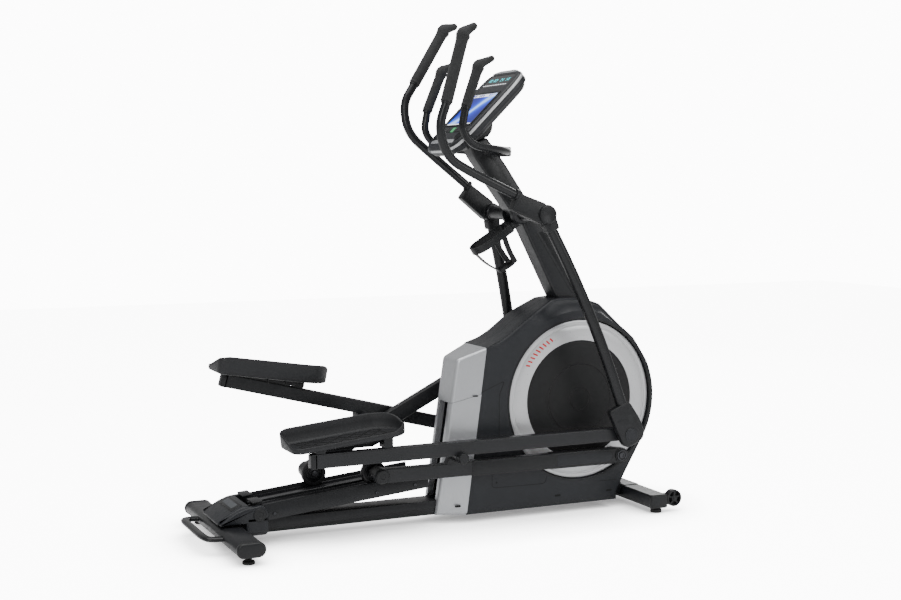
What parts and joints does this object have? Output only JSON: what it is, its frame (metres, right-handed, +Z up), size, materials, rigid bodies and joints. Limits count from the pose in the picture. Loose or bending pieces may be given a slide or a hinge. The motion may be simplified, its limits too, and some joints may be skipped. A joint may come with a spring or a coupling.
{
  "type": "elliptical trainer",
  "caption": "Front-drive elliptical trainer with swinging handles, pedals on roller arms, a power ramp, a crank in a disc housing and a tilted console.",
  "frame": {"origin": "on the floor, under the middle of the whole machine's box, with the machine at rest", "axes": "+X forward from the rear stabilizer to the flywheel housing, +Y to the left of a person standing on the pedals, +Z up"},
  "size_m": [1.7245, 0.66, 1.7564],
  "materials": {
    "frame_black": "satin powder coat",
    "cover_black": "satin moulded plastic",
    "silver": "silver painted plastic",
    "disc_black": "fine matt plastic",
    "rubber": "matt rubber",
    "grip": "ribbed foam rubber",
    "tread": "textured plastic",
    "steel": "turned steel",
    "bronze": "plain bearing bronze",
    "screen": "lit display window",
    "button_green": "moulded key"
  },
  "bodies": {
    "frame": {"main_beam": "frame_black", "front_stabilizer": "frame_black", "rear_stabilizer": "frame_black", "lift_handle": "frame_black", "rear_cover": "cover_black", "crank_support": "frame_black", "mast": "frame_black", "pivot_axle": "steel", "shield_right": "cover_black", "shield_left": "cover_black", "rear_cap": "silver", "rear_shell_right": "silver", "rear_shell_left": "silver", "fixed_handlebar": "frame_black", "fixed_grip_right": "grip", "fixed_grip_left": "grip", "bottle_holder": "cover_black", "console_body": "cover_black", "console_screen": "screen", "incline_actuator": "cover_black", "brake_magnets": "steel", "drive_belt": "rubber"},
    "crank": {"crank_axle": "steel", "drive_pulley": "cover_black", "crank_right": "frame_black", "crank_left": "frame_black", "crank_disc_right": "disc_black", "crank_disc_left": "disc_black", "crank_ring_right": "silver", "crank_ring_left": "silver"},
    "flywheel": {"flywheel": "steel"},
    "ramp": {"ramp": "frame_black"},
    "incline_rod": {"incline_rod": "steel"},
    "swing_right": {"swing_leg_right": "frame_black", "handle_tube_right": "frame_black", "grip_right": "grip"},
    "pedal_right": {"pedal_arm_right": "frame_black", "pedal_right": "tread", "pedal_bush_right": "bronze"},
    "roller_right": {"roller_axle_right": "steel"},
    "wheel_right": {"roller_wheel_right": "rubber"},
    "roller_pivot_right": {"roller_bush_right": "bronze"},
    "roller_arm_right": {"roller_arm_right": "frame_black", "arm_knob_right": "cover_black"},
    "transport_wheel_right": {"transport_wheel_right": "rubber"},
    "levelling_foot_right": {"levelling_foot_right": "rubber"},
    "swing_left": {"swing_leg_left": "frame_black", "handle_tube_left": "frame_black", "grip_left": "grip"},
    "pedal_left": {"pedal_arm_left": "frame_black", "pedal_left": "tread", "pedal_bush_left": "bronze"},
    "roller_left": {"roller_axle_left": "steel"},
    "wheel_left": {"roller_wheel_left": "rubber"},
    "roller_pivot_left": {"roller_bush_left": "bronze"},
    "roller_arm_left": {"roller_arm_left": "frame_black", "arm_knob_left": "cover_black"},
    "transport_wheel_left": {"transport_wheel_left": "rubber"},
    "levelling_foot_left": {"levelling_foot_left": "rubber"},
    "start_button": {"start_button": "button_green"}
  },
  "joints": [
    {"name": "crank_spin", "type": "hinge", "parent": "frame", "child": "crank", "pos_m": [0.534, 0, 0.4016], "axis": [0, -1, 0], "continuous": true},
    {"name": "flywheel_spin", "type": "hinge", "parent": "frame", "child": "flywheel", "pos_m": [0.319, 0, 0.36], "axis": [0, -1, 0], "continuous": true},
    {"name": "right_swing", "type": "hinge", "parent": "frame", "child": "swing_right", "pos_m": [0.32, -0.211, 1.065], "axis": [0, -1, 0], "range_deg": [-25.3, 8.7]},
    {"name": "left_swing", "type": "hinge", "parent": "frame", "child": "swing_left", "pos_m": [0.32, 0.211, 1.065], "axis": [0, -1, 0], "range_deg": [-9, 25.5]},
    {"name": "ramp_incline", "type": "hinge", "parent": "frame", "child": "ramp", "pos_m": [-0.661, 0, 0.105], "axis": [0, -1, 0], "range_deg": [0, 10]},
    {"name": "incline_rod_slide", "type": "slide", "parent": "frame", "child": "incline_rod", "axis": [0, 0, 1], "range_m": [0, 0.138]},
    {"name": "right_roller_travel", "type": "slide", "parent": "ramp", "child": "roller_right", "axis": [0.9949, 0, 0.1011], "range_m": [-0.3472, 0.12]},
    {"name": "right_wheel_spin", "type": "hinge", "parent": "roller_right", "child": "wheel_right", "pos_m": [-0.25458, -0.07, 0.20276], "axis": [0, -1, 0], "continuous": true},
    {"name": "right_arm_rise", "type": "hinge", "parent": "roller_right", "child": "roller_pivot_right", "pos_m": [-0.25458, -0.128, 0.20276], "axis": [0, -1, 0], "range_deg": [-14.51, 0]},
    {"name": "right_arm_pivot", "type": "hinge", "parent": "roller_pivot_right", "child": "roller_arm_right", "pos_m": [-0.25458, -0.128, 0.20276], "axis": [0, -1, 0], "range_deg": [-4.72, 13.54]},
    {"name": "right_pedal_pivot", "type": "hinge", "parent": "roller_arm_right", "child": "pedal_right", "pos_m": [0.01412, -0.1825, 0.25224], "axis": [0, -1, 0], "range_deg": [-22.06, 7.65]},
    {"name": "left_roller_travel", "type": "slide", "parent": "ramp", "child": "roller_left", "axis": [0.9949, 0, 0.1011], "range_m": [-0.1025, 0.2961]},
    {"name": "left_wheel_spin", "type": "hinge", "parent": "roller_left", "child": "wheel_left", "pos_m": [-0.41717, 0.07, 0.18624], "axis": [0, -1, 0], "continuous": true},
    {"name": "left_arm_rise", "type": "hinge", "parent": "roller_left", "child": "roller_pivot_left", "pos_m": [-0.41717, 0.128, 0.18624], "axis": [0, -1, 0], "range_deg": [-12.75, 0]},
    {"name": "left_arm_pivot", "type": "hinge", "parent": "roller_pivot_left", "child": "roller_arm_left", "pos_m": [-0.41717, 0.128, 0.18624], "axis": [0, -1, 0], "range_deg": [-13.96, 4.87]},
    {"name": "left_pedal_pivot", "type": "hinge", "parent": "roller_arm_left", "child": "pedal_left", "pos_m": [-0.20023, 0.1825, 0.35233], "axis": [0, -1, 0], "range_deg": [-9.46, 27.33]},
    {"name": "right_transport_wheel", "type": "hinge", "parent": "frame", "child": "transport_wheel_right", "pos_m": [0.8325, -0.233, 0.048], "axis": [0, -1, 0], "continuous": true},
    {"name": "right_foot_screw", "type": "slide", "parent": "frame", "child": "levelling_foot_right", "axis": [0, 0, -1], "range_m": [0, 0.012]},
    {"name": "left_transport_wheel", "type": "hinge", "parent": "frame", "child": "transport_wheel_left", "pos_m": [0.8325, 0.233, 0.048], "axis": [0, -1, 0], "continuous": true},
    {"name": "left_foot_screw", "type": "slide", "parent": "frame", "child": "levelling_foot_left", "axis": [0, 0, -1], "range_m": [0, 0.012]},
    {"name": "start_press", "type": "slide", "parent": "frame", "child": "start_button", "axis": [0.7071, 0, -0.7071], "range_m": [0, 0.001], "stiffness_N_per_m": 150, "springref_m": -0.003}
  ],
  "couplings": [
    {"joint": "flywheel_spin", "follows": "crank_spin", "ratio": 6},
    {"joint": "left_swing", "follows": "right_swing", "ratio": -1},
    {"joint": "incline_rod_slide", "follows": "ramp_incline", "m_per_rad": 0.7888},
    {"joint": "right_roller_travel", "follows": "right_swing", "m_per_rad": 0.784},
    {"joint": "right_arm_rise", "follows": "ramp_incline", "ratio": -1.4415},
    {"joint": "right_arm_pivot", "follows": "right_swing", "ratio": -0.5314},
    {"joint": "right_pedal_pivot", "follows": "right_swing", "ratio": 0.8681},
    {"joint": "left_roller_travel", "follows": "right_swing", "m_per_rad": -0.6682},
    {"joint": "left_arm_rise", "follows": "ramp_incline", "ratio": -1.2653},
    {"joint": "left_arm_pivot", "follows": "right_swing", "ratio": 0.548},
    {"joint": "left_pedal_pivot", "follows": "right_swing", "ratio": -1.0762}
  ]
}
